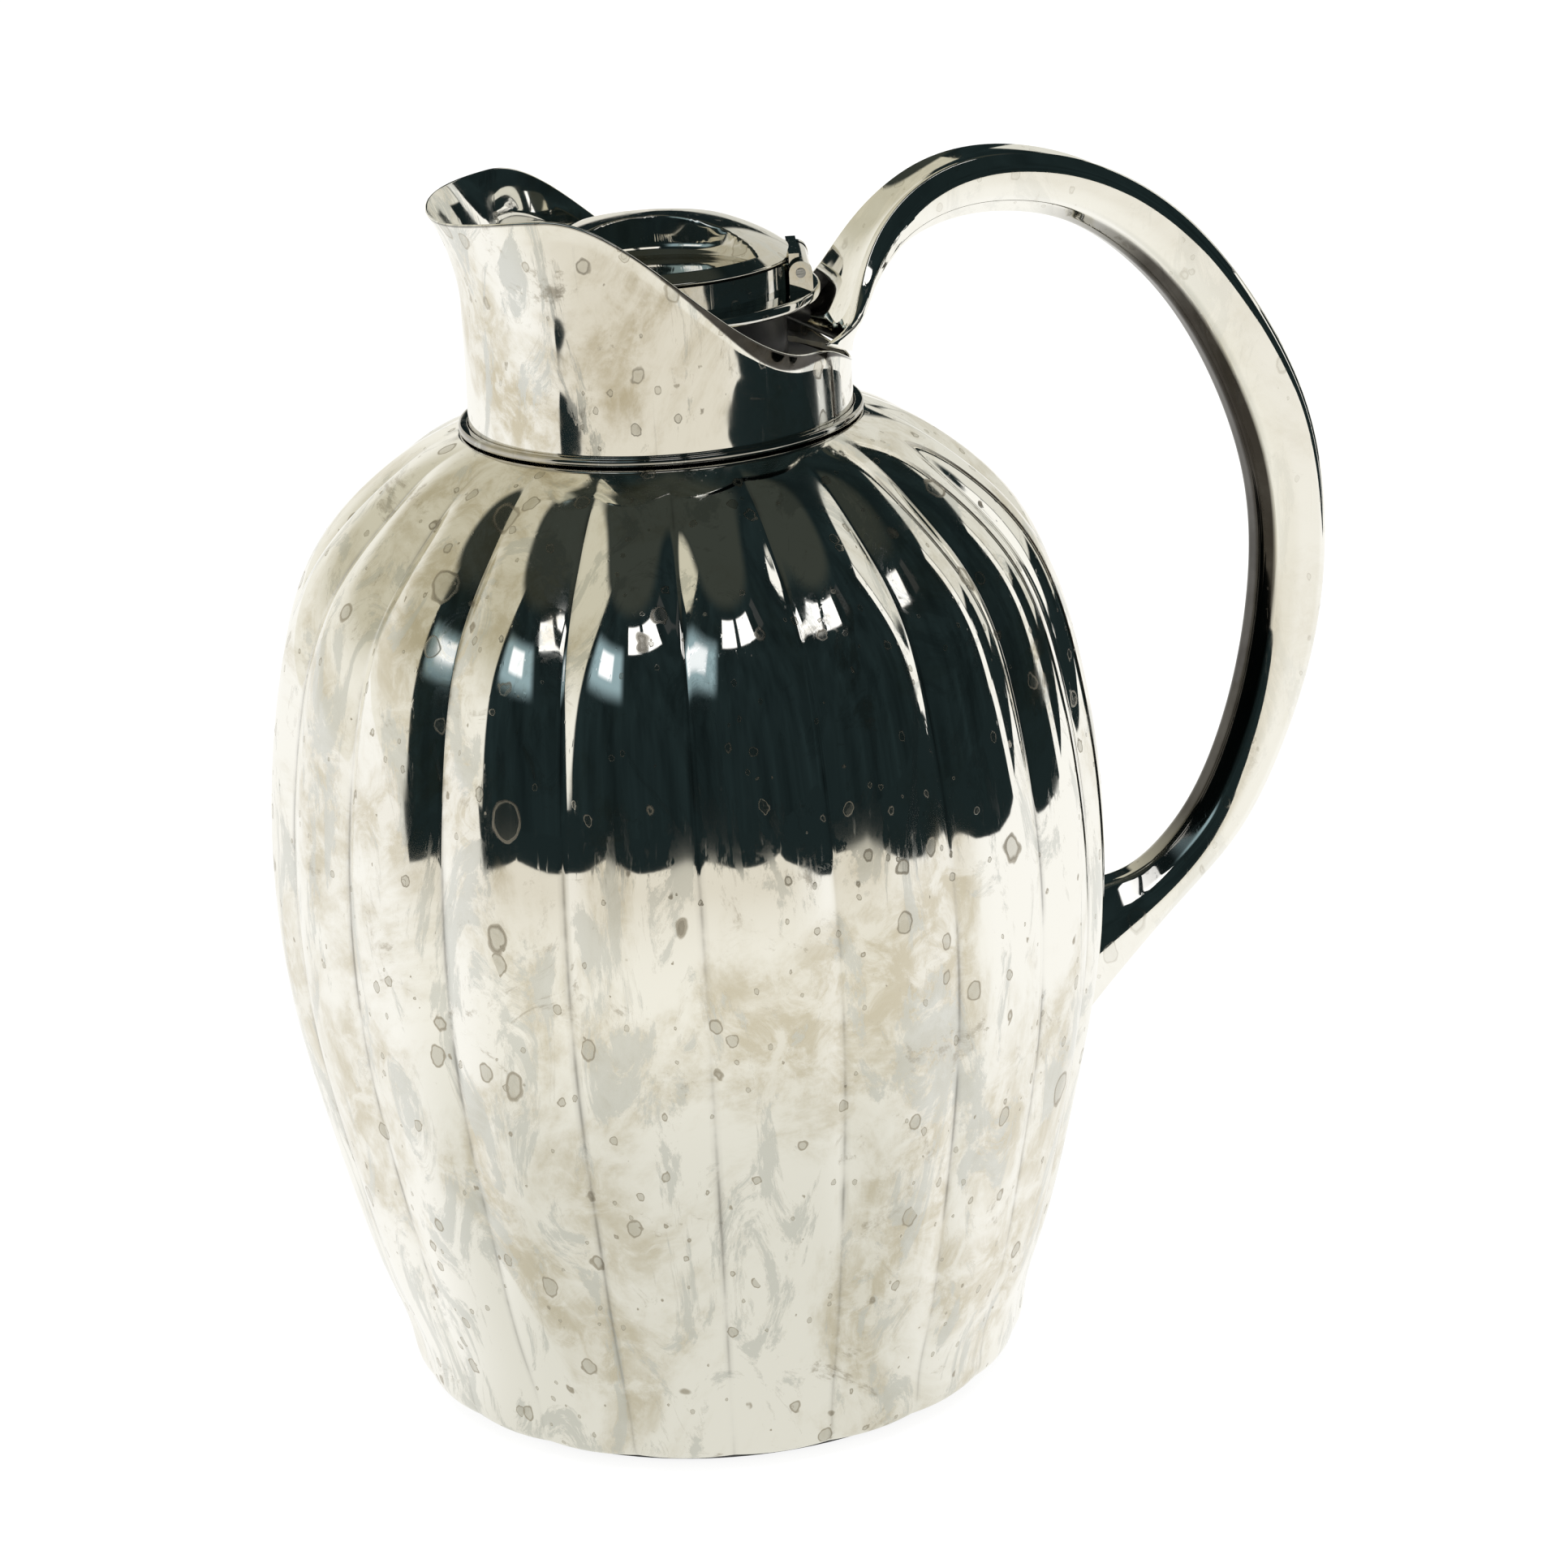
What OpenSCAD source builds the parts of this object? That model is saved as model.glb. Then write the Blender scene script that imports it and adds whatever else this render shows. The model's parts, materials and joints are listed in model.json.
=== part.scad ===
// Insulated serving pitcher: fluted silver-plated casing, spouted collar, swept handle,
// double-walled glass flask and a push-in stopper with a hinged domed lid.
// Origin: centre of the foot, on the surface it stands on. +Z up, +X towards the handle,
// -X towards the spout.

/* [Casing] */
// Number of flutes round the casing
lobe_count = 20; // [12:2:28]
// Wall of the casing
casing_wall = 1.2; // [1.0:0.1:1.6]
// Depth of the creases between flutes at the widest part
flute_depth = 1.9; // [1.0:0.1:3.0]
// How round a flute is across its width
flute_power = 2; // [2.0:0.1:3.0]

/* [Collar] */
// Outer radius of the collar at its foot
collar_r = 36.2; // [36.0:0.1:36.4]
// Wall of the collar
collar_wall = 1.2; // [1.0:0.1:1.4]
// How far the spout leans out past the collar
spout_reach = 4.8; // [3:0.1:8]
// Half angle over which the spout spreads
spout_spread = 39; // [30:1:40]
// Angle that the spout stands off the handle's plane
spout_turn = 7; // [0:1:8]

/* [Handle] */
// Width of the edge land along the top of the handle
handle_land = 1.2; // [0.8:0.1:1.6]

/* [Flask] */
// Outer radius of the flask
flask_r = 49.5; // [46:0.5:49.5]
// Bore of the flask's mouth
mouth_r = 21.5; // [20:0.5:22]
// Thickness of the glass
glass_t = 1.4; // [1.0:0.1:1.6]
// Vacuum space between the two glass walls
vacuum_gap = 3.4; // [2.5:0.1:4]

/* [Stopper] */
// Radius of the stopper's plate
plate_r = 31; // [31:0.2:32]
// Radius of the stopper's drum
drum_r = 26.5; // [26:0.1:27]
// Angle of the lid's grip to the handle at rest
grip_turn = -19; // [-30:1:0]
// Radius of the hinge pin
pin_r = 0.9; // [0.8:0.1:1.1]

/* [Hidden] */
$fn = 96;

silver = [0.86, 0.85, 0.81];
black = [0.06, 0.06, 0.07];
rubber = [0.12, 0.12, 0.12];
glass = [0.80, 0.86, 0.88];
steel = [0.62, 0.63, 0.65];
slip = 0.05;

// Casing outline over the flute crests, radius and height, from the foot to the neck opening
casing_outline = [[54.5, 1.2], [59.5, 3], [61.5, 9.5], [65.5, 23], [72, 47.5], [78.5, 80], [80, 113],
    [76.5, 142], [69, 164.5], [55, 180], [44, 187], [37.2, 189.6]];
// Share of the full flute depth at the same places
flute_share = [0.1, 0.2, 0.25, 0.35, 0.6, 0.85, 1, 1.1, 1.2, 1, 0.2, 0];

// Collar rim: it dips a little at the tip of the spout, falls along each side,
// then falls again to the seam under the handle's root. Heights in mm, angles from the spout.
spout_top_z = 234;
tip_dip = 2.3;
tip_dip_to = 50;
side_fall = 28.5;
side_fall_from = 48;
side_fall_to = 128;
seam_fall = 7;
seam_fall_from = 125;
seam_fall_to = 173;
collar_foot_z = 184;
// The collar draws in by waist above its foot, then stays straight
waist = 0.36;
waist_z = 190;
waist_h = 14;
spout_low_z = 214;
spout_h = 17.5;
spout_fade = 3.7;
// Flare of the rim's last stretch, and how much more it flares where the rim dips before the handle
lip_h = 3.4;
lip_power = 1.2;
lip_flare = 0.25;
dip_flare = 1.3;
dip_at = 113;
dip_spread = 22;

// Handle stations from the collar round to the casing:
// edge x, edge z, half width, nose x, nose z, depth of the trough along the top
handle_stations = [
    [23, 205.5, 28.2, 36.9, 198.6, 13.8],
    [29.4, 205.5, 20.8, 37.8, 201.6, 7.4],
    [33.6, 207, 16, 39.6, 204.6, 4.3],
    [36.4, 210.4, 12.4, 41.2, 208, 3.2],
    [39.1, 215, 10, 43.8, 211.6, 2.6],
    [43.4, 221, 8, 48.8, 215.9, 2.1],
    [48.4, 225.6, 7, 53.2, 218.1, 1.8],
    [56.6, 230, 6.5, 59.3, 219.7, 1.5],
    [67, 231.8, 6.5, 67, 220.2, 1.2],
    [78.5, 230.6, 6.5, 76.5, 218.9, 1],
    [89.5, 227, 6.5, 84.8, 215.9, 0.9],
    [107, 215.3, 6.5, 98.2, 206, 0.7],
    [122, 196.5, 6.5, 110.4, 190, 0.5],
    [133, 173.5, 6.5, 119.7, 168.2, 0.4],
    [136.3, 149, 6.5, 122.8, 147.5, 0.3],
    [133.5, 125.5, 6.5, 120.7, 127, 0.1],
    [125.5, 103.5, 6.4, 115.2, 108, -0.4],
    [115, 86.8, 6.4, 107, 92.8, -1],
    [103, 76, 6.6, 97.6, 84, -1.4],
    [90, 65.2, 7.6, 88.4, 81, -1.6],
    [82, 58.8, 9, 82.6, 80.6, -1.2],
    [76, 54, 10.4, 79.4, 80.6, -0.6]];

bead_r = 38;
bead_z = 189.7;
bead_h = 1.5;

opening_r = 48.4;
ring_out_r = 55.9;
ring_z = 3.2;
ring_h = 2.8;
screw_circle_r = 51.5;
screw_r = 1.45;
screw_head_r = 2.3;
screw_head_h = 1.18;
screw_end_z = 7;
plate_seat_z = 1.1;
plate_low_z = 0.5;
foot_r = 48;
foot_h = 1.15;

flask_bottom_z = 21;
flask_top_z = 194;
flask_neck_r = mouth_r + 2 * glass_t + 1.6;
flask_shoulder_z = 146;
inner_r = flask_r - glass_t - vacuum_gap;

plug_bottom_z = 172;
plug_shoulder_z = 198.3;
plate_z = 211.5;
plate_top_z = 213.8;
drum_top_z = 219.3;
channel_r = 10;
seat_r = 14;
seat_z = 216.6;

pin_x = 27.15;
pin_z = 217.3;
ear_w = 4.3;
ear_out = 10;
ear_in = 8.3;
ear_t = ear_out - ear_in;
ear_play = 0.02;
barrel_r = 2;
// Gap left under the drum and the ears, where they stand on the plate
foot_gap = 0.02;

lid_base_z = 219.6;
lid_r = 26.2;
// Dome outline over the lid, radius and height
dome_outline = [[0, 228.4], [8, 227.7], [15, 226], [20, 223.9], [24, 221.6], [lid_r, 220]];
skirt_in_r = 24.6;
lid_inside_z = 220.3;
liner_z = 218.6;
well_r = 26;
well_y = 28.4;
well_corner = 3;
well_lean = 1.5;
well_top_z = 232;
well_floor_z = 221;
well_rim_r = 23.8;

// ---- Curves ----

function lerp(a, b, t) = a + (b - a) * t;
function flat_dist(a, b) = norm([b[0] - a[0], b[1] - a[1]]);
function clampi(i, n) = min(max(i, 0), n - 1);

// Tangent per unit length at point i of a list, weighted by the lengths on both sides
function tangent(p, i) = let(
    a = p[clampi(i - 1, len(p))], b = p[i], c = p[clampi(i + 1, len(p))],
    da = max(flat_dist(a, b), 0.001), dc = max(flat_dist(b, c), 0.001))
    i == 0 ? (c - b) / dc : i == len(p) - 1 ? (b - a) / da
    : ((b - a) / da * dc + (c - b) / dc * da) / (da + dc);

// Point on the smooth curve through list p at s, where whole numbers are the listed points
function on_curve(p, s) = let(
    i = min(floor(s), len(p) - 2), t = s - i, d = flat_dist(p[i], p[i + 1]))
    (2 * t * t * t - 3 * t * t + 1) * p[i] + (t * t * t - 2 * t * t + t) * d * tangent(p, i)
    + (3 * t * t - 2 * t * t * t) * p[i + 1] + (t * t * t - t * t) * d * tangent(p, i + 1);

// ---- Solids from loops of points ----

// Closed ring of closed loops, such as a shell swept once round the axis
module loft_round(loops) {
    m = len(loops);
    n = len(loops[0]);
    points = [for (l = loops) each l];
    faces = [for (i = [0 : m - 1]) for (j = [0 : n - 1]) let(
        next = (i + 1) % m, a = i * n + j, b = i * n + (j + 1) % n,
        c = next * n + (j + 1) % n, d = next * n + j)
        each [[a, b, c], [a, c, d]]];
    polyhedron(points = points, faces = faces, convexity = 10);
}

// Row of closed loops with closed ends; each loop is two matching sides, one after the other reversed
module loft_open(loops) {
    m = len(loops);
    n = len(loops[0]);
    points = [for (l = loops) each l];
    sides = [for (i = [0 : m - 2]) for (j = [0 : n - 1]) let(
        a = i * n + j, b = i * n + (j + 1) % n, c = (i + 1) * n + (j + 1) % n, d = (i + 1) * n + j)
        each [[a, b, c], [a, c, d]]];
    last = (m - 1) * n;
    caps = [for (j = [0 : n / 2 - 2]) let(k = n - 1 - j) each [
        [j, k, k - 1], [j, k - 1, j + 1],
        [last + j, last + k - 1, last + k], [last + j, last + j + 1, last + k - 1]]];
    polyhedron(points = points, faces = concat(sides, caps), convexity = 10);
}

// Ring with a rectangular section
module ring(r_in, r_out, z, h) {
    translate([0, 0, z]) difference() {
        cylinder(r = r_out, h = h);
        translate([0, 0, -1]) cylinder(r = r_in, h = h + 2);
    }
}

// ---- Casing ----

casing_last = len(casing_outline) - 1;
function casing_p(s) = on_curve(casing_outline, s);
function casing_n(s) = let(
    a = casing_p(max(s - 0.02, 0)), b = casing_p(min(s + 0.02, casing_last)), t = (b - a) / norm(b - a))
    [t[1], -t[0]];
// Place across a flute at angle a: 0 on its crest, 1 in the crease. A crease faces the handle.
function across(a) = abs(2 * (a * lobe_count / 360 - floor(a * lobe_count / 360)) - 1);
function flute_at(s) = let(i = min(floor(s), casing_last - 1))
    flute_depth * lerp(flute_share[i], flute_share[i + 1], s - i);
// Radius and height of the casing at angle a, inset from the outside
function casing_rz(s, a, inset) =
    casing_p(s) - (flute_at(s) * pow(across(a), flute_power) + inset) * casing_n(s);
// Radius of the outside at angle a and height z, by halving the range
function casing_s_at(z, lo = 0, hi = casing_last, n = 18) = n == 0 ? (lo + hi) / 2
    : casing_p((lo + hi) / 2)[1] < z ? casing_s_at(z, (lo + hi) / 2, hi, n - 1)
    : casing_s_at(z, lo, (lo + hi) / 2, n - 1);
function casing_r_at(z, a) = casing_rz(casing_s_at(z), a, 0)[0];

module body_shell() {
    steps = 6 * lobe_count;
    out_s = [for (i = [0 : 2 * casing_last]) i / 2];
    in_s = [for (i = [casing_last : -1 : 0]) i];
    color(silver) loft_round([for (k = [0 : steps - 1]) let(a = 360 * k / steps)
        [for (p = concat([for (s = out_s) casing_rz(s, a, 0)], [for (s = in_s) casing_rz(s, a, casing_wall)]))
            [p[0] * cos(a), p[0] * sin(a), p[1]]]]);
}

module collar_bead() {
    r_mid = collar_r + 0.1;
    color(silver) rotate_extrude() union() {
        translate([r_mid, bead_z]) square([bead_r - bead_h / 2 - r_mid, bead_h]);
        translate([bead_r - bead_h / 2, bead_z + bead_h / 2]) circle(d = bead_h, $fn = 32);
    }
}

// ---- Collar ----

function from_spout(a) = let(off = a - 180 + spout_turn) abs(off - 360 * round(off / 360));
// Smooth step from 0 to 1 as x goes from x0 to x1
function ease(x, x0, x1) = (1 - cos(180 * min(max((x - x0) / (x1 - x0), 0), 1))) / 2;
// Height of the rim at angle b from the spout
function rim_z(b) = spout_top_z - tip_dip * (1 - ease(b, 0, tip_dip_to))
    - side_fall * ease(b, side_fall_from, side_fall_to)
    - seam_fall * ease(b, seam_fall_from, seam_fall_to);
// Outer radius at angle b from the spout and height z, under a rim at height top
function collar_out(b, z, top) = let(
    up = min(max((z - waist_z) / waist_h, 0), 1),
    up_spout = max((z - spout_low_z) / spout_h, 0),
    up_lip = min(max((z - top + lip_h) / lip_h, 0), 1),
    flare = lip_flare + dip_flare * exp(-pow((b - dip_at) / dip_spread, 2)))
    collar_r - waist * (4 * up - pow(up, 4)) / 3 + flare * pow(up_lip, lip_power)
    + spout_reach * exp(-pow(b / spout_spread, spout_fade)) * pow(up_spout, 1.8);

module neck_collar() {
    steps = 90;
    levels = [0, 0.3, 0.5, 0.65, 0.77, 0.86, 0.94, 1];
    color(silver) loft_round([for (k = [0 : steps - 1]) let(
        a = 360 * k / steps, b = from_spout(a), top = rim_z(b))
        concat(
            [for (v = levels) let(z = lerp(collar_foot_z, top, v), r = collar_out(b, z, top))
                [r * cos(a), r * sin(a), z]],
            [for (i = [len(levels) - 1 : -1 : 0]) let(z = lerp(collar_foot_z, top, levels[i]),
                r = collar_out(b, z, top) - collar_wall) [r * cos(a), r * sin(a), z]])]);
}

// ---- Handle ----

handle_half = 9;
// Closed section at station value q: nose side first, then the trough side back
function handle_section(q, m) = let(
    w = q[2], nose = [q[3] - q[0], q[4] - q[1]], d = norm(nose), dir = nose / d,
    round_y = 1 + 0.35 * m, round_h = 2 - 0.65 * m,
    nose_side = [for (i = [0 : handle_half]) let(t = 180 * i / handle_half, c = cos(t))
        [w * sign(c) * pow(abs(c), round_y), d * pow(sin(t), round_h)]],
    trough_side = [for (i = [handle_half : -1 : 0]) let(t = 180 * i / handle_half, c = cos(t))
        [(w - handle_land) * c, q[5] * (1 - c * c)]])
    [for (p = concat(nose_side, trough_side)) [q[0] + dir[0] * p[1], p[0], q[1] + dir[1] * p[1]]];
// Moves a section's points onto the casing, a hair proud of it
root_proud = 0.12;
function onto_casing(loop) = [for (p = loop) let(r = casing_r_at(p[2], atan2(p[1], p[0])) + root_proud)
    [sqrt(r * r - p[1] * p[1]), p[1], p[2]]];

module handle() {
    last = len(handle_stations) - 1;
    steps = 3 * last;
    color(silver) loft_open([for (k = [0 : steps]) let(s = k / 3,
        loop = handle_section(on_curve(handle_stations, s), min(s / 5, 1)))
        k == steps ? onto_casing(loop) : loop]);
}

// ---- Foot ----

module screw_places() {
    for (k = [0 : 2]) rotate([0, 0, 60 + 120 * k]) translate([screw_circle_r, 0, 0]) children();
}

module base_ring() {
    color(steel) difference() {
        ring(opening_r, ring_out_r, ring_z, ring_h);
        screw_places() translate([0, 0, ring_z - 1]) cylinder(r = screw_r + slip, h = ring_h + 2, $fn = 32);
    }
}

module base_plate() {
    edge_r = 55.2;
    boss_r = 53;
    below = plate_low_z - 0.1;
    color(black) difference() {
        union() {
            translate([0, 0, plate_low_z]) cylinder(r = edge_r, h = plate_seat_z - plate_low_z + 0.05);
            translate([0, 0, plate_seat_z]) cylinder(r = boss_r, h = ring_z - plate_seat_z - 0.1);
        }
        translate([0, 0, below]) cylinder(r = foot_r + slip, h = foot_h + slip - below);
        screw_places() translate([0, 0, below]) cylinder(r = screw_r + 0.2, h = ring_z, $fn = 32);
        screw_places() translate([0, 0, below]) cylinder(r = screw_head_r + 0.2, h = 1.5, $fn = 32);
    }
}

module base_screws() {
    head_z = plate_low_z + 0.2;
    color(steel) screw_places() union() {
        translate([0, 0, head_z]) cylinder(r = screw_head_r, h = screw_head_h, $fn = 32);
        translate([0, 0, head_z + 1.1]) cylinder(r = screw_r, h = screw_end_z - head_z - 1.1, $fn = 32);
    }
}

module foot_pad() {
    color(rubber) cylinder(r = foot_r, h = foot_h);
}

// The flask stands on a cushion in a cup that a spring lifts off the base plate
cup_z = 13.1;
cup_r = 34;
cup_t = 1;
cup_h = 10.9;
cup_hole_r = 6;
cushion_in_r = 22;

module support_spring() {
    coil_r = 20;
    wire_r = 0.9;
    turns = 4;
    low_z = ring_z + wire_r;
    rise = cup_z - 0.1 - wire_r - low_z;
    steps = 20 * turns;
    loops = [for (k = [0 : steps]) let(a = 360 * turns * k / steps, z = low_z + rise * k / steps)
        [for (i = [0 : 7]) let(b = -45 * i, r = coil_r + wire_r * cos(b))
            [r * cos(a), r * sin(a), z + wire_r * sin(b)]]];
    color(steel) loft_open(loops);
}

module support_cup() {
    corner = 2;
    color(steel) rotate_extrude() polygon([[cup_hole_r, cup_z], [cup_r - corner, cup_z],
        [cup_r, cup_z + corner], [cup_r, cup_z + cup_h], [cup_r - cup_t, cup_z + cup_h],
        [cup_r - cup_t, cup_z + corner + 0.4],
        [cup_r - corner - 0.4, cup_z + cup_t], [cup_hole_r, cup_z + cup_t]]);
}

module support_cushion() {
    low_z = cup_z + cup_t + 0.1;
    out_r = cup_r - cup_t - 0.2;
    color(rubber) rotate_extrude() polygon([[cushion_in_r, low_z], [out_r - 1.8, low_z], [out_r, low_z + 1.8],
        [out_r, 26.2], [24.8, 23.6], [cushion_in_r, 23.1]]);
}

// ---- Flask ----

// Outline of one glass wall from the middle of its bottom to the mouth, offset inwards by t
bowl_share = 0.42;
shoulder_h = 24;
function wall_outline(r, bottom, shoulder, neck, top, t) = let(
    low = r * bowl_share, rr = r - t, nn = neck - t) concat(
    [for (i = [0 : 6]) let(a = 90 * i / 6) [rr * sin(a), bottom + low - (low - t) * cos(a)]],
    [for (i = [0 : 5]) let(a = 90 * i / 5) [nn + (rr - nn) * (0.5 + 0.5 * cos(2 * a)),
        shoulder + shoulder_h * a / 90 - (i == 0 ? 0 : t / 2)]],
    [[nn, top]]);
function backwards(l) = [for (i = [len(l) - 1 : -1 : 0]) l[i]];

// Glass that joins the two walls at the mouth, and the sealed tip under the bottom
mouth_lip_h = 1.5;
tip_h = 3;
tip_r = 3;

module flask_outer() {
    top = flask_top_z - mouth_lip_h - 0.1;
    outside = wall_outline(flask_r, flask_bottom_z, flask_shoulder_z, flask_neck_r, top, 0);
    inside = wall_outline(flask_r, flask_bottom_z, flask_shoulder_z, flask_neck_r, top, glass_t);
    color(glass) union() {
        rotate_extrude() polygon(concat(outside, backwards(inside)));
        translate([0, 0, flask_bottom_z - tip_h]) cylinder(r1 = 1, r2 = tip_r, h = tip_h + 0.6, $fn = 48);
    }
}

module flask_inner() {
    bottom = flask_bottom_z + glass_t + vacuum_gap;
    shoulder = flask_shoulder_z - 4;
    neck = mouth_r + glass_t;
    outside = wall_outline(inner_r, bottom, shoulder, neck, flask_top_z, 0);
    inside = wall_outline(inner_r, bottom, shoulder, neck, flask_top_z, glass_t);
    color(glass) union() {
        rotate_extrude() polygon(concat(outside, backwards(inside)));
        ring(neck - 0.2, flask_neck_r, flask_top_z - mouth_lip_h, mouth_lip_h);
    }
}

module flask_spacers() {
    spacer_z = 70;
    spacer_r = 5;
    color(rubber) for (k = [0 : 2]) rotate([0, 0, 120 * k]) translate([inner_r + 0.25, 0, spacer_z])
        rotate([0, 90, 0]) cylinder(r = spacer_r, h = vacuum_gap - 0.6, $fn = 32);
}

module tip_cap() {
    low_z = cup_z + 2.5;
    color(rubber) difference() {
        translate([0, 0, low_z]) cylinder(r = tip_r + 2, h = flask_bottom_z - 0.3 - low_z, $fn = 48);
        translate([0, 0, flask_bottom_z - tip_h - 0.5]) cylinder(r = tip_r + 0.3, h = tip_h + 1, $fn = 48);
    }
}

seal_h = 1.3;
module neck_seal() {
    color(rubber) ring(mouth_r + 0.6, flask_neck_r, flask_top_z + slip, seal_h);
}

// Liner between the flask's mouth and the collar. Its top slopes down towards the collar.
module mouth_ring() {
    in_r = mouth_r + 0.4;
    neck_r = flask_neck_r + 0.1;
    low_z = 187;
    seal_z = flask_top_z + seal_h + 0.2;
    top_z = 198.2;
    color(black) rotate_extrude() polygon([[in_r, seal_z], [neck_r, seal_z], [neck_r, low_z], [34.8, low_z],
        [34.4, top_z - 1.6], [33, top_z - 0.8], [25.4, top_z], [in_r, top_z]]);
}

// ---- Stopper ----

groove_r = 18.55;
groove_z = 178;
groove_h = 6;

module stopper_seal() {
    color(rubber) ring(groove_r + slip, mouth_r - slip, groove_z + 0.1, groove_h - 0.2);
}

module stopper_plug() {
    flange_r = 24.4;
    color(black) difference() {
        union() {
            translate([0, 0, plug_bottom_z])
                cylinder(r = mouth_r - 0.9, h = plug_shoulder_z - plug_bottom_z + 1);
            translate([0, 0, plug_shoulder_z]) cylinder(r = flange_r, h = plate_z - 0.1 - plug_shoulder_z);
            translate([0, 0, plate_z - 1]) cylinder(r = seat_r, h = seat_z - plate_z + 1);
        }
        translate([0, 0, plug_bottom_z - 1]) cylinder(r = channel_r, h = seat_z - plug_bottom_z + 2);
        ring(groove_r, mouth_r + 1, groove_z, groove_h);
    }
}

module stopper_plate() {
    in_r = seat_r + 0.1;
    low_edge = 0.8;
    top_edge = 0.5;
    color(silver) rotate_extrude() polygon([[in_r, plate_z], [plate_r - low_edge, plate_z],
        [plate_r, plate_z + low_edge], [plate_r, plate_top_z - top_edge], [plate_r - top_edge, plate_top_z],
        [in_r, plate_top_z]]);
}

// Everything below turns with the lid's grip
module gripwise() {
    rotate([0, 0, grip_turn]) children();
}

module stopper_drum() {
    wall = 1.5;
    low_z = plate_top_z + foot_gap;
    color(silver) gripwise() difference() {
        ring(drum_r - wall, drum_r, low_z, drum_top_z - low_z);
        translate([drum_r - 2 * wall, -ear_in, pin_z - barrel_r - 0.6]) cube([8, 2 * ear_in, 10]);
        for (y = [-ear_out, ear_in]) translate([pin_x - ear_w / 2 - slip, y - slip, plate_top_z])
            cube([ear_w, ear_t + 2 * slip, 10]);
    }
}

module hinge_ear(y) {
    translate([pin_x, y, pin_z]) difference() {
        union() {
            rotate([-90, 0, 0]) cylinder(d = ear_w, h = ear_t, $fn = 48);
            translate([-ear_w / 2, 0, plate_top_z + foot_gap - pin_z])
                cube([ear_w, ear_t, pin_z - plate_top_z]);
        }
        translate([0, -1, 0]) rotate([-90, 0, 0]) cylinder(r = pin_r + ear_play, h = ear_t + 2, $fn = 48);
    }
}

module hinge_ears() {
    color(silver) gripwise() {
        hinge_ear(ear_in);
        hinge_ear(-ear_out);
    }
}

module hinge_pin() {
    length = 2 * ear_out + 0.5;
    color(steel) gripwise() translate([pin_x, -length / 2, pin_z]) rotate([-90, 0, 0])
        cylinder(r = pin_r, h = length, $fn = 48);
}

// ---- Lid ----

function dome_points() = [for (i = [0 : 2 * (len(dome_outline) - 1)]) on_curve(dome_outline, i / 2)];

// Cutter for one finger well: a round dish with a rounded foot and slightly leaning sides
module finger_well(side) {
    foot_r = well_r - well_lean - well_corner;
    translate([0, side * well_y, 0]) rotate_extrude() polygon(concat([[0, well_floor_z]],
        [for (i = [0 : 6]) let(a = 90 * i / 6)
            [foot_r + well_corner * sin(a), well_floor_z + well_corner * (1 - cos(a))]],
        [[well_r, well_top_z], [0, well_top_z]]));
}

module lid_dome() {
    outside = dome_points();
    color(silver) gripwise() difference() {
        rotate_extrude() polygon(concat(outside, [[lid_r, lid_base_z], [skirt_in_r, lid_base_z],
            [skirt_in_r, lid_inside_z], [0, lid_inside_z]]));
        intersection() {
            union() {
                finger_well(1);
                finger_well(-1);
            }
            translate([0, 0, lid_base_z]) cylinder(r = well_rim_r, h = well_top_z - lid_base_z + 1);
        }
        translate([drum_r - 1.4, -ear_in, lid_base_z - 1]) cube([8, 2 * ear_in, 2]);
    }
}

module lid_hinge_strap() {
    half = ear_in - 0.3;
    color(silver) gripwise() difference() {
        union() {
            translate([pin_x, -half, pin_z]) rotate([-90, 0, 0])
                cylinder(r = barrel_r, h = 2 * half, $fn = 48);
            translate([drum_r - 1.35, -half, pin_z]) cube([1.9, 2 * half, lid_base_z + 0.95 - pin_z]);
        }
        translate([pin_x, -half - 1, pin_z]) rotate([-90, 0, 0])
            cylinder(r = pin_r + slip, h = 2 * half + 2, $fn = 48);
    }
}

module lid_liner() {
    color(black) gripwise() translate([0, 0, liner_z])
        cylinder(r = skirt_in_r - 1, h = lid_inside_z - slip - liner_z);
}

module lid_seal() {
    color(rubber) translate([0, 0, seat_z + slip])
        cylinder(r = seat_r + 2, h = liner_z - 0.02 - seat_z - slip);
}

body_shell();
neck_collar();
collar_bead();
handle();
base_ring();
base_plate();
base_screws();
foot_pad();
flask_outer();
flask_inner();
flask_spacers();
tip_cap();
support_cup();
support_cushion();
support_spring();
neck_seal();
mouth_ring();
stopper_seal();
stopper_plug();
stopper_plate();
stopper_drum();
hinge_ears();
hinge_pin();
lid_dome();
lid_hinge_strap();
lid_liner();
lid_seal();
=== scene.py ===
"""Looks of the fluted insulated pitcher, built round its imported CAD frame.

Outlines below are in millimetres in the CAD frame: +X towards the handle, -X towards the spout, +Z up.
Meshes are scaled to metres as they are made.
"""

import json
import math

import bpy
import numpy as np
from mathutils import Matrix, Vector


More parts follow.
